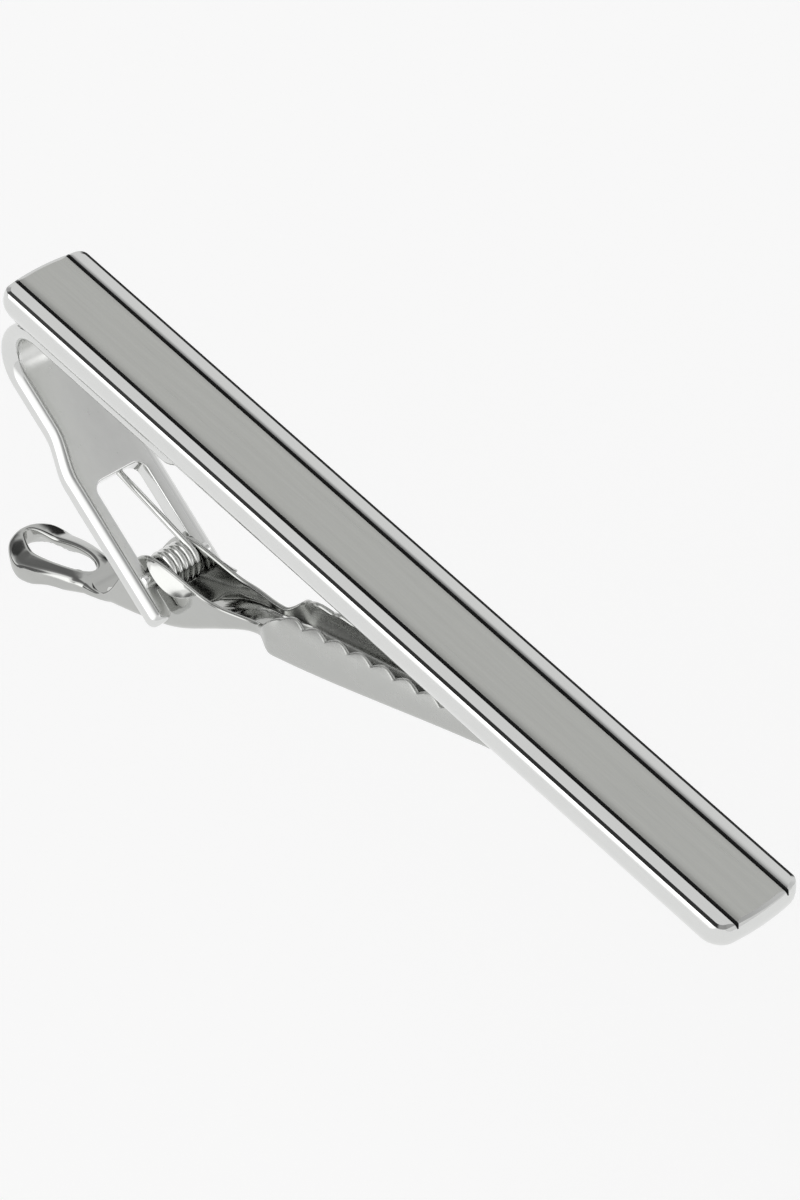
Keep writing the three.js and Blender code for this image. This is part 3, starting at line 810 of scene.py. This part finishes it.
@dataclass
class JawLever:
    """The stamped lever: finger loop, cheeks with lugs, neck and toothed jaw.

    Its own X runs from the hinge axis to the jaw's tip, and heights are above the hinge axis.
    """

    arm: ClipArm
    sheet: float = 0.35
    width: float = 3.2
    corner: float = 0.5
    corner_share: float = 0.6
    trough: float = 0.95
    trough_start: float = 0.6
    trough_full: float = 3.0
    trough_runout: float = 1.4
    trough_width_share: float = 0.8
    trough_depth_share: float = 0.45
    least_wall: float = 0.02
    least_lean: float = 0.1
    tail_reach: float = 15.4
    tail_tip_drop: float = 4.0
    loop_width: float = 4.7
    loop_drop: float = 4.8
    loop_height: float = 1.25
    loop_edge: float = 0.43
    loop_edge_share: float = 0.44
    loop_rim: float = 0.55
    loop_dome: float = 0.5
    loop_hollow: float = 1.0
    hollow_start: float = 0.08
    hollow_full: float = 0.5
    hole_width: float = 2.0
    hole_edge: float = 0.34
    hole_back_edge: float = 0.14
    tail_edge: float = 0.341
    tail_hole_edge: float = 0.1375
    loop_end: float = 7.3
    loop_sink: float = 0.03
    loop_neck: float = 8.4
    loop_neck_height: float = 0.95
    loop_overlap: float = 0.35
    sink_run: float = 0.7
    channel_start: float = 7.6
    channel_run: float = 1.2
    dip_back: float = 6.6
    dip_width: float = 3.0
    dip_drop: float = 4.05
    dip_height: float = 0.5
    cheek_back: float = 2.5
    crest_back: float = 0.4
    crest_height: float = 1.22
    hinge_drop: float = 3.5
    stem_start: float = 5.2
    stem_top: float = -0.02
    neck_reach: float = 8.7
    neck_width: float = 2.5
    neck_drop: float = 1.12
    neck_depth: float = 0.95
    heel_reach: float = 10.5
    jaw_start: float = 11.2
    jaw_reach: float = 31.2
    jaw_width: float = 3.8
    jaw_tip_width: float = 2.6
    jaw_tip_round: float = 0.8
    heel_drop: float = 1.55
    heel_height: float = 1.08
    jaw_tip_drop: float = 1.15
    jaw_tip_sink: float = 0.25
    jaw_crown: float = 1.6
    jaw_nose: float = 0.9
    nose_run: float = 0.7
    jaw_gap: float = 0.3
    jaw_lean: float = 0.34
    tooth_pitch: float = 1.9
    tooth_height: float = 0.32
    lug_rear: float = 0.4
    lug_front: float = 3.8
    lug_belly: float = 0.85
    lug_proud: float = 0.62
    lug_lip: float = 0.12
    lug_tuck: float = 0.3
    lug_end: float = 0.1
    pivot_gap: float = 0.3
    pivot_break: float = 0.05
    edge_break: float = 0.06
    satin_start: float = 0.4
    sharp_deg: float = 45
    corner_steps: int = 8
    wall_steps: int = 8
    lip_steps: int = 6
    inner_steps: int = 7
    floor_steps: int = 4
    dip_steps: int = 40
    cheek_steps: int = 90
    tooth_steps: int = 12
    tip_steps: int = 8
    loop_steps: tuple[int, int, int] = (40, 64, 16)
    hole_steps: int = 96
    grid_half: float = 2.2
    grid_steps: tuple[int, int] = (48, 20)
    edge_steps: int = 8
    lug_steps: tuple[int, int] = (40, 6)

    def __post_init__(self) -> None:
        """Works out the lever's lines and its place at rest."""
        self.hinge = self.arm.hinge()
        self.rest = math.asin((-self.jaw_gap - self.hinge.z) / self.jaw_reach)
        self.loop_radius = self.loop_width / 2
        self.loop_centre = -self.tail_reach + self.loop_radius
        self.hole_rear = -self.tail_reach + self.loop_rim
        self.tip_start = self.jaw_reach - self.jaw_tip_round
        self.bottom = smooth_line([
            (-self.tail_reach, -self.tail_tip_drop),
            (self.loop_centre, -self.loop_drop),
            (-self.dip_back, -self.dip_drop),
            (0, -self.hinge_drop),
            (self.neck_reach, -self.neck_drop),
            (self.heel_reach, -self.heel_drop),
            (self.jaw_reach, -self.jaw_tip_drop),
        ])
        self.side = smooth_line([
            (self.loop_centre, self.loop_radius),
            (-self.dip_back, self.dip_width / 2),
            (-self.cheek_back, self.width / 2),
            (self.stem_start, self.width / 2),
            (self.neck_reach, self.neck_width / 2),
            (self.heel_reach, self.jaw_width / 2),
            (self.jaw_reach, self.jaw_tip_width / 2),
        ])
        self.wall_top = smooth_line([
            (-self.tail_reach, self.loop_height - self.tail_tip_drop),
            (self.loop_centre, self.loop_height - self.loop_drop),
            (-self.loop_neck, self.bottom(-self.loop_neck) + self.loop_neck_height),
            (-self.dip_back, self.dip_height - self.dip_drop),
            (-self.crest_back, self.crest_height),
            (self.stem_start, self.stem_top),
            (self.neck_reach, self.neck_depth - self.neck_drop),
            (self.jaw_start, self.heel_height),
        ])

    def place(self, x: float, y: float, z: float) -> Vector:
        """A point of the lever at rest, in the part's frame.

        Args:
            x: Place along the lever.
            y: Place across.
            z: Height above the hinge axis.

        Returns:
            The point, in millimetres.
        """
        cos, sin = math.cos(self.rest), math.sin(self.rest)
        return Vector((self.hinge.x + x * cos - z * sin, y, self.hinge.z + x * sin + z * cos))

    def top(self, x: float) -> float:
        """Height of the walls' top edge, with the jaw's scallops."""
        if x < self.jaw_start:
            return self.wall_top(x)
        scallop = abs(math.sin(math.pi * (x - self.jaw_start) / self.tooth_pitch))
        return self.gums(x) + self.tooth_height * scallop

    def gums(self, x: float) -> float:
        """Height of the line between the jaw's teeth."""
        along = min(1.0, max(0.0, (x - self.jaw_start) / (self.jaw_reach - self.jaw_start)))
        return lerp(self.heel_height, -self.tooth_height - self.jaw_tip_sink, along**self.jaw_crown)

    def half_width(self, x: float) -> float:
        """Half the lever's width in front of the loop."""
        if x <= self.tip_start:
            return self.side(x)
        left = max(self.jaw_tip_round**2 - (x - self.tip_start) ** 2, 0)
        return self.side(x) - self.jaw_tip_round + math.sqrt(left)

    def rim_edge(self, x: float) -> float:
        """Radius of the loop's outer edges, which fits the rim's height and width."""
        wide = lerp(self.tail_edge, self.loop_edge, ease(x, self.hole_rear, self.loop_centre))
        return min(wide, self.loop_edge_share * (self.wall_top(x) - self.bottom(x)))

    def section(self, x: float, draw_in: float) -> Ring:
        """The channel's section: two walls with rounded top edges on a rounded floor.

        Behind the channel it closes to the loop's section, and at the tip to a solid nose.

        Args:
            x: Place along the lever.
            draw_in: How far the outside is drawn in.

        Returns:
            A loop of points in the part's frame.
        """
        opened = ease(x, -self.channel_start, -self.channel_start + self.channel_run)
        nose = self.jaw_reach - self.jaw_nose
        open_share = opened * (1 - ease(x, nose - self.nose_run, nose))
        wide = self.half_width(x) - draw_in
        low = self.bottom(x) + draw_in
        lip = lerp(self.sheet / 2, self.rim_edge(x), 1 - opened)
        top = self.top(x) - draw_in - lip
        radius = min(self.corner, self.corner_share * (top - low))
        radius = lerp(radius, self.rim_edge(x), 1 - opened)
        inside = wide - 2 * lip
        hollowed = ease(x, self.trough_start, self.trough_full)
        hollowed *= 1 - ease(x, self.neck_reach - self.trough_runout, self.neck_reach)
        fitting = min(self.trough_width_share * inside, self.trough_depth_share * (top - low))
        inner = lerp(radius / 2, min(self.trough, fitting), hollowed)
        floor = min(low + self.sheet, top - inner - self.least_wall)
        lean = self.jaw_lean * ease(x, self.neck_reach, self.jaw_start)
        whole = max(self.gums(x) + self.tooth_height - low - radius, self.least_lean)

        def drawn(z: float) -> float:
            """How far a wall leans in at one height."""
            return lean * max(0.0, z - low - radius) ** 2 / whole

        tilt = math.atan(2 * lean * max(0.0, top - low - radius) / whole)
        shoulder = top + lip * math.sin(tilt)
        crest = wide - drawn(shoulder) - lip * math.cos(tilt)
        overhang = inside - drawn(top) - (crest - lip)
        half = [(0.0, low)]
        half += [(y, low) for y in spaced(0, wide - radius, self.floor_steps)[1:-1]]
        half += arc(wide - radius, low + radius, radius, -90, 0, self.corner_steps)
        heights = spaced(low + radius, shoulder, self.wall_steps)[1:-1]
        half += [(wide - drawn(z), z) for z in heights]
        half += arc(crest, top, lip, math.degrees(tilt), 90, self.lip_steps)
        hollow = arc(crest, top, lip, 90, 180, self.lip_steps)[1:]
        for share in spaced(1, 0, self.inner_steps)[1:-1]:
            z = lerp(floor + inner, top, share)
            hollow.append((inside - drawn(z) - overhang * share, z))
        hollow += arc(inside - inner, floor + inner, inner, 0, -90, self.lip_steps)
        hollow += [(y, floor) for y in spaced(inside - inner, 0, self.floor_steps)[1:]]
        half += [(y, lerp(top + lip, z, open_share)) for y, z in hollow]
        loop = half + [(-y, z) for y, z in reversed(half[1:-1])]
        return [self.place(x, y, z) for y, z in loop]

    def channel(self) -> Solid:
        """The channel from behind the dip to the jaw's tip, with the pivot holes.

        Returns:
            The channel as a closed body.
        """
        start = -self.loop_neck + self.loop_overlap
        stations = spaced(start, -self.dip_back, self.dip_steps)[:-1]
        stations += spaced(-self.dip_back, self.jaw_start, self.cheek_steps)
        step = self.tooth_pitch / self.tooth_steps
        count = int((self.tip_start - self.jaw_start) / step)
        stations += [self.jaw_start + step * i for i in range(1, count)]
        tip = arc(self.tip_start, 0, self.jaw_tip_round, 90, 0, self.tip_steps)
        stations += [x for x, _ in tip]
        rings = []
        for x in stations:
            draw_in = self.loop_sink * (1 - ease(x, start, start + self.sink_run))
            rings.append(self.section(x, draw_in))
        hole = self.arm.trunnion_radius + self.pivot_gap
        pin = MeshKit.rod(self.hinge, hole, (-self.width, self.width), self.pivot_break)
        return MeshKit.cut(MeshKit.loft(rings), pin)

    def loop(self) -> Solid:
        """The finger loop: a plate with rounded edges and a long hole.

        Returns:
            The loop as a closed body.
        """
        end = -self.loop_end

        def sink(x: float) -> float:
            """How far the loop's faces sink into the channel in front."""
            return self.loop_sink * ease(x, -self.loop_neck, end)

        side_steps, round_steps, end_steps = self.loop_steps
        upper = [(x, self.side(x) - sink(x)) for x in spaced(end, self.loop_centre, side_steps)]
        corner = upper[0][1]
        outline = upper[:-1]
        outline += arc(self.loop_centre, 0, self.loop_radius, 90, 270, round_steps)
        outline += [(x, -y) for x, y in reversed(upper[:-1])]
        outline += [(end, y) for y in spaced(-corner, corner, end_steps)[1:-1]]
        half_length = (-self.loop_neck - self.hole_rear) / 2
        middle = self.hole_rear + half_length
        turns = arc(0, 0, 1, 360, 0, self.hole_steps)[:-1]
        hole = [(middle + half_length * a, self.hole_width / 2 * b) for a, b in turns]
        rows, columns = self.grid_steps
        across = spaced(-self.grid_half, self.grid_half, columns)
        grid = [(x, y) for x in spaced(-self.tail_reach, end, rows) for y in across]

        def inward(x: float, y: float) -> float:
            """0 at the loop's rim and beyond, and 1 in the middle of its hole."""
            along = (x - middle) / (middle + self.tail_reach)
            return max(0.0, 1 - along**2 - (y / self.loop_radius) ** 2)

        def low(x: float, y: float) -> float:
            """The underside, which is pressed up towards the hole."""
            pressed = ease(inward(x, y), self.hollow_start, self.hollow_full)
            return self.bottom(x) + sink(x) + self.loop_hollow * pressed

        def high(x: float, y: float) -> float:
            """The domed upper side."""
            return self.wall_top(x) - sink(x) + self.loop_dome * inward(x, y)

        def rim_edge(x: float, y: float) -> float:
            """Radius of the outer edges at a place along and across."""
            return self.rim_edge(x)

        def hole_edge(x: float, y: float) -> float:
            """Radius of the hole's upper edge, which fits the width of the rim."""
            share = ease(x, self.hole_rear, self.loop_centre)
            return lerp(self.tail_hole_edge, self.hole_edge, share)

        def hole_back_edge(x: float, y: float) -> float:
            """Radius of the hole's lower edge."""
            return self.hole_back_edge

        loops = [(outline, rim_edge, rim_edge), (hole, hole_back_edge, hole_edge)]
        return MeshKit.plate(loops, low, high, self.place, grid, self.edge_steps)

    def lug(self, side: int) -> Solid:
        """A half-moon lip that slopes out and down from a cheek's crest, over the prong.

        Args:
            side: 1 or -1.

        Returns:
            The lip as a closed body.
        """
        rear = Vector((-self.lug_rear, self.top(-self.lug_rear)))
        front = Vector((self.lug_front, self.top(self.lug_front)))
        wall, root = self.width / 2, self.width / 2 - self.sheet / 2
        length_steps, slope_steps = self.lug_steps
        rings = []
        for turn in spaced(self.lug_end, math.pi - self.lug_end, length_steps):
            t = (1 - math.cos(turn)) / 2
            bow = 4 * t * (1 - t)
            thick = self.lug_lip * math.sqrt(bow)
            x = lerp(rear.x, front.x, t)
            crest = self.top(x) - self.edge_break
            lip = rear.lerp(front, t).y - self.edge_break - self.lug_belly * bow
            out = wall + self.lug_proud * math.sqrt(bow)
            slope = spaced(0, 1, slope_steps)
            section = [(root, crest)]
            section += [(lerp(wall, out, a), lerp(crest, lip + thick, a)) for a in slope]
            section += [(out - self.lug_tuck * thick, lip), ((out + wall) / 2, lip - thick)]
            section += [(root, lip - self.lug_lip)]
            rings.append([self.place(x, side * y, z) for y, z in section])
        return MeshKit.loft(rings)

    def build(self, finishes: Finishes) -> bpy.types.Object:
        """Makes the lever.

        Args:
            finishes: The part's finishes.

        Returns:
            The lever's object.
        """
        bodies = [self.channel(), self.loop(), self.lug(1), self.lug(-1)]
        made = MeshKit.finish("lever_stamping", bodies, self.sharp_deg)
        dress(made.data, finishes.stamped, finishes.pressed)
        heel = self.place(self.neck_reach + self.satin_start, 0, 0).x * MM
        for face in made.data.polygons:
            face.material_index = int(face.center.x > heel)
        return made


@dataclass
class TorsionSpring:
    """The wound wire round the trunnions, with one leg on the arm and one on the lever."""

    arm: ClipArm
    lever: JawLever
    wire: float = 0.44
    coil_radius: float = 1.1
    whole_turns: int = 4
    pitch: float = 0.455
    seat_gap: float = 0.12
    arm_leg_past: float = 1.3
    lever_leg_reach: float = 5.6
    steps_per_turn: int = 48
    leg_steps: int = 16
    sides: int = 16
    sharp_deg: float = 50

    def __post_init__(self) -> None:
        """Works out where the legs rest and how far the coil turns and reaches."""
        at, arm, lever = self.arm.hinge(), self.arm, self.lever
        stand = self.seat_gap + self.wire / 2
        rest = -self.lever_leg_reach
        self.on_tail = lever.place(rest, 0, lever.bottom(rest) + lever.sheet + stand)
        self.under_arm = arm.place(arm.window_s, 0, arm.sheet / 2 + stand)

        def tangent(p: Vector, way: int) -> float:
            """Angle at the axis where a leg from a point meets the coil."""
            x, z = p.x - at.x, p.z - at.z
            return math.atan2(z, x) + way * math.acos(self.coil_radius / math.hypot(x, z))

        self.start = tangent(self.on_tail, 1)
        part = (tangent(self.under_arm, -1) - self.start) % (2 * math.pi)
        self.sweep = part + 2 * math.pi * self.whole_turns
        self.coil_half = self.pitch * self.sweep / (4 * math.pi)

    def path(self) -> list[Vector]:
        """The wire's middle line.

        Returns:
            Points from the lever's leg to the arm's leg, in millimetres.
        """
        at = self.arm.hinge()
        coil = []
        for t in spaced(0, 1, round(self.steps_per_turn * self.sweep / (2 * math.pi))):
            a = self.start + self.sweep * t
            x = at.x + self.coil_radius * math.cos(a)
            y = lerp(-self.coil_half, self.coil_half, t)
            coil.append(Vector((x, y, at.z + self.coil_radius * math.sin(a))))
        first = Vector((self.on_tail.x, -self.coil_half, self.on_tail.z))
        last = Vector((self.under_arm.x, self.coil_half, self.under_arm.z))
        last += (last - coil[-1]).normalized() * self.arm_leg_past
        shares = spaced(0, 1, self.leg_steps)
        tail_leg = [first.lerp(coil[0], t) for t in shares[:-1]]
        arm_leg = [coil[-1].lerp(last, t) for t in shares[1:]]
        return [*tail_leg, *coil, *arm_leg]

    @staticmethod
    def sweep_tree() -> bpy.types.NodeTree:
        """A node tree that sweeps a round wire along a line of edges.

        Returns:
            The tree, with inputs for the wire's radius, sides and material.
        """
        tree = bpy.data.node_groups.new("wire_sweep", "GeometryNodeTree")
        for name, way, kind in (
            ("Geometry", "INPUT", "NodeSocketGeometry"),
            ("Wire Radius", "INPUT", "NodeSocketFloat"),
            ("Wire Sides", "INPUT", "NodeSocketInt"),
            ("Wire Material", "INPUT", "NodeSocketMaterial"),
            ("Geometry", "OUTPUT", "NodeSocketGeometry"),
        ):
            tree.interface.new_socket(name, in_out=way, socket_type=kind)
        pen = NodePen(tree)
        source = pen.add("NodeGroupInput").outputs
        curve = pen.add("GeometryNodeMeshToCurve", {"Mesh": source["Geometry"]})
        round_wire = pen.add(
            "GeometryNodeCurvePrimitiveCircle",
            {"Radius": source["Wire Radius"], "Resolution": source["Wire Sides"]},
        )
        sweep = pen.add("GeometryNodeCurveToMesh", {
            "Curve": curve.outputs["Curve"],
            "Profile Curve": round_wire.outputs["Curve"],
            "Fill Caps": True,
        })
        smooth = pen.add("GeometryNodeSetShadeSmooth", {"Geometry": sweep.outputs["Mesh"]})
        real = pen.add("GeometryNodeRealizeInstances", {"Geometry": smooth.outputs["Geometry"]})
        dressed = pen.add(
            "GeometryNodeSetMaterial",
            {"Geometry": real.outputs["Geometry"], "Material": source["Wire Material"]},
        )
        pen.add("NodeGroupOutput", {"Geometry": dressed.outputs["Geometry"]})
        return tree

    def build(self, finishes: Finishes) -> bpy.types.Object:
        """Sweeps the wire and makes it a plain mesh.

        Args:
            finishes: The part's finishes.

        Returns:
            The spring's object.
        """
        points = [p * MM for p in self.path()]
        line = bpy.data.meshes.new("spring_line")
        line.from_pydata(points, [(i, i + 1) for i in range(len(points) - 1)], [])
        made = linked("spring_coil", line)
        step = made.modifiers.new("sweep", "NODES")
        step.node_group = self.sweep_tree()
        items = step.node_group.interface.items_tree
        sockets = {item.name: item.identifier for item in items if item.in_out == "INPUT"}
        step[sockets["Wire Radius"]] = self.wire / 2 * MM
        step[sockets["Wire Sides"]] = self.sides
        step[sockets["Wire Material"]] = finishes.wire.material()
        view = bpy.context.evaluated_depsgraph_get()
        swept = bpy.data.meshes.new_from_object(made.evaluated_get(view))
        made.modifiers.remove(step)
        made.data = swept
        bpy.data.meshes.remove(line)
        swept.set_sharp_from_angle(angle=math.radians(self.sharp_deg))
        return made


@dataclass(frozen=True)
class Card:
    """A soft-edged card of the studio, which multiplies the sky's light by its level.

    Its inner and outer rims are cosines of the angle from its direction.
    """

    toward: Point3
    inner: float
    outer: float
    level: float


@dataclass(frozen=True)
class SoftBox:
    """A soft lamp, in millimetres. Its radiance is 1 where it looks as bright as white."""

    name: str
    at: Point3
    width: float
    height: float
    radiance: float
    aim: Point3 = (0.0, 0.0, -6.0)


@dataclass
class Studio:
    """The floor, the light and the camera."""

    floor_drop: float = 46.0
    floor_reach: float = 3500.0
    floor_tone: float = 0.55
    floor_lift: float = 0.54
    camera_place: Point3 = (122.51, -147.87, 199.38)
    camera_right: Point3 = (0.671067, 0.729163, 0.134130)
    camera_down: Point3 = (0.597226, -0.424453, -0.680559)
    camera_forward: Point3 = (-0.439306, 0.536807, -0.720312)
    camera_clip: Point2 = (10.0, 10000.0)
    sensor: float = 36.0
    lens: float = 147.02
    sky: Sequence[Point2] = (
        (0.0, 0.85), (0.48, 0.92), (0.56, 1.0), (0.9, 1.0), (0.95, 0.5), (1.0, 0.45),
    )
    cards: Sequence[Card] = (
        Card((-0.3, -0.9, 0.3), 0.8, 0.45, 1.7),
        Card((0.72, 0.54, 0.43), 0.99, 0.955, 1.9),
        Card((-0.9, -0.06, 0.43), 0.95, 0.86, 0.25),
        Card((-0.44, 0.86, 0.2), 0.97, 0.93, 0.04),
        Card((0.36, 0.54, 0.76), 0.97, 0.85, 0.8),
        Card((-0.44, 0.07, 0.89), 0.975, 0.935, 0.1),
        Card((-0.8, -0.6, 0.06), 0.985, 0.955, 0.12),
    )
    key: SoftBox = SoftBox("key", (-1200, -4400, 1600), 4800, 2800, 0.6)

    def camera(self) -> None:
        """Makes the camera at the photograph's viewing angle."""
        data = bpy.data.cameras.new("camera")
        data.sensor_fit = "VERTICAL"
        data.sensor_height = data.sensor_width = self.sensor
        data.lens = self.lens
        data.clip_start, data.clip_end = (reach * MM for reach in self.camera_clip)
        made = linked("camera", data)
        right, up = Vector(self.camera_right), -Vector(self.camera_down)
        turn = Matrix((right, up, -Vector(self.camera_forward))).transposed()
        made.matrix_world = Matrix.Translation(Vector(self.camera_place) * MM) @ turn.to_4x4()
        bpy.context.scene.camera = made

    def world(self) -> None:
        """Lights the scene with a pale sky, dimmer overhead, with bright and dark cards in it."""
        made = bpy.data.worlds.new("studio")
        made.use_nodes = True
        bpy.context.scene.world = made
        pen = NodePen(made.node_tree)
        ray = pen.add("ShaderNodeTexCoord").outputs["Generated"]
        parts = pen.add("ShaderNodeSeparateXYZ", {"Vector": ray})
        height = pen.add(
            "ShaderNodeMapRange", {"Value": parts.outputs["Z"], "From Min": -1, "From Max": 1}
        )
        ramp = pen.add("ShaderNodeValToRGB", {"Fac": height.outputs["Result"]})
        elements = ramp.color_ramp.elements
        while len(elements) < len(self.sky):
            elements.new(0.5)
        for element, (position, value) in zip(elements, self.sky):
            element.position = position
            element.color = (value, value, value, 1)
        level = ramp.outputs["Color"]
        for card in self.cards:
            way = Vector(card.toward).normalized()
            toward = pen.add("ShaderNodeVectorMath", {0: ray, 1: way}, operation="DOT_PRODUCT")
            share = pen.add("ShaderNodeMapRange", {
                "Value": toward.outputs["Value"],
                "From Min": card.outer,
                "From Max": card.inner,
                "To Min": 1,
                "To Max": card.level,
            }, interpolation_type="SMOOTHSTEP")
            both = {0: level, 1: share.outputs["Result"]}
            level = pen.add("ShaderNodeMath", both, operation="MULTIPLY").outputs["Value"]
        sky = pen.add("ShaderNodeBackground", {"Strength": level})
        pen.add("ShaderNodeOutputWorld", {"Surface": sky.outputs["Background"]})

    def floor(self) -> None:
        """Makes the pale floor."""
        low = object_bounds()[0].z - self.floor_drop * MM
        reach = self.floor_reach * MM
        mesh = bpy.data.meshes.new("floor")
        signs = ((-1, -1), (1, -1), (1, 1), (-1, 1))
        mesh.from_pydata([(a * reach, b * reach, low) for a, b in signs], [], [(0, 1, 2, 3)])
        made = linked("floor", mesh)
        material = bpy.data.materials.new("pale_floor")
        material.use_nodes = True
        pen = NodePen(material.node_tree)
        tone = (self.floor_tone, self.floor_tone, self.floor_tone, 1)
        matt = pen.add("ShaderNodeBsdfDiffuse", {"Color": tone})
        path = pen.add("ShaderNodeLightPath").outputs
        seen = path["Is Camera Ray"]
        for kind in ("Is Glossy Ray", "Is Transmission Ray"):
            either = pen.add("ShaderNodeMath", {0: seen, 1: path[kind]}, operation="MAXIMUM")
            seen = either.outputs["Value"]
        lift = pen.add("ShaderNodeMath", {0: seen, 1: self.floor_lift}, operation="MULTIPLY")
        glow = pen.add("ShaderNodeEmission", {"Strength": lift.outputs["Value"]})
        both = pen.add(
            "ShaderNodeAddShader", {0: matt.outputs["BSDF"], 1: glow.outputs["Emission"]}
        )
        pen.add("ShaderNodeOutputMaterial", {"Surface": both.outputs["Shader"]})
        mesh.materials.append(material)
        made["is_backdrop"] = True

    def soft_box(self, box: SoftBox) -> None:
        """Adds one lamp.

        Args:
            box: The lamp's place, size and brightness.
        """
        data = bpy.data.lights.new(box.name, "AREA")
        data.shape = "RECTANGLE"
        data.size = box.width * MM
        data.size_y = box.height * MM
        data.energy = box.radiance * math.pi * data.size * data.size_y
        made = linked(box.name, data)
        made.location = Vector(box.at) * MM
        made.rotation_mode = "QUATERNION"
        made.rotation_quaternion = (Vector(box.aim) - Vector(box.at)).to_track_quat("-Z", "Y")

    def build(self) -> None:
        """Makes the whole studio."""
        bpy.context.scene.view_settings.view_transform = "Standard"
        self.camera()
        self.world()
        self.floor()
        self.soft_box(self.key)


def attach(
    piece: bpy.types.Object, body: Optional[Body], slot: Slot, nodes: Sequence[str]
) -> None:
    """Joins a piece to its body and hides the CAD nodes that it stands for.

    Args:
        piece: The piece.
        body: The body that it rides on, or None where it bends between two.
        slot: The record's slot for its finish; not used.
        nodes: The CAD nodes that it stands for.
    """
    if body is not None:
        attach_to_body(piece, body.value)
    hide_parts(*nodes)
    LOG.info("%s: %d faces", piece.name, len(piece.data.polygons))


def dress_node(name: str, finish: PlatedMetal) -> None:
    """Gives a CAD node that stays a finished material.

    Args:
        name: The node's name.
        finish: Its finish.
    """
    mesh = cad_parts[name].data
    mesh.materials.clear()
    dress(mesh, finish)
    LOG.info("%s: kept, with finish %s", name, finish.name)


def main() -> None:
    logging.basicConfig(level=logging.INFO, format="%(name)s %(message)s")
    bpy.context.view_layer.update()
    finishes = Finishes()
    bar = FrontBar()
    arm = ClipArm(bar)
    lever = JawLever(arm)
    spring = TorsionSpring(arm, lever)
    attach(bar.build(finishes), Body.FRAME, Slot.SATIN, ["front_bar"])
    attach(arm.build(finishes), Body.FRAME, Slot.POLISHED, ["clip_arm"])
    attach(lever.build(finishes), Body.LEVER, Slot.POLISHED, ["jaw_lever"])
    coil = spring.build(finishes)
    axis = arm.hinge()
    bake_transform(coil)
    attach(coil, None, Slot.WIRE, ["torsion_spring"])
    dress_node("solder_seam", finishes.solder)
    Studio().build()


if __name__ == "__main__":
    main()
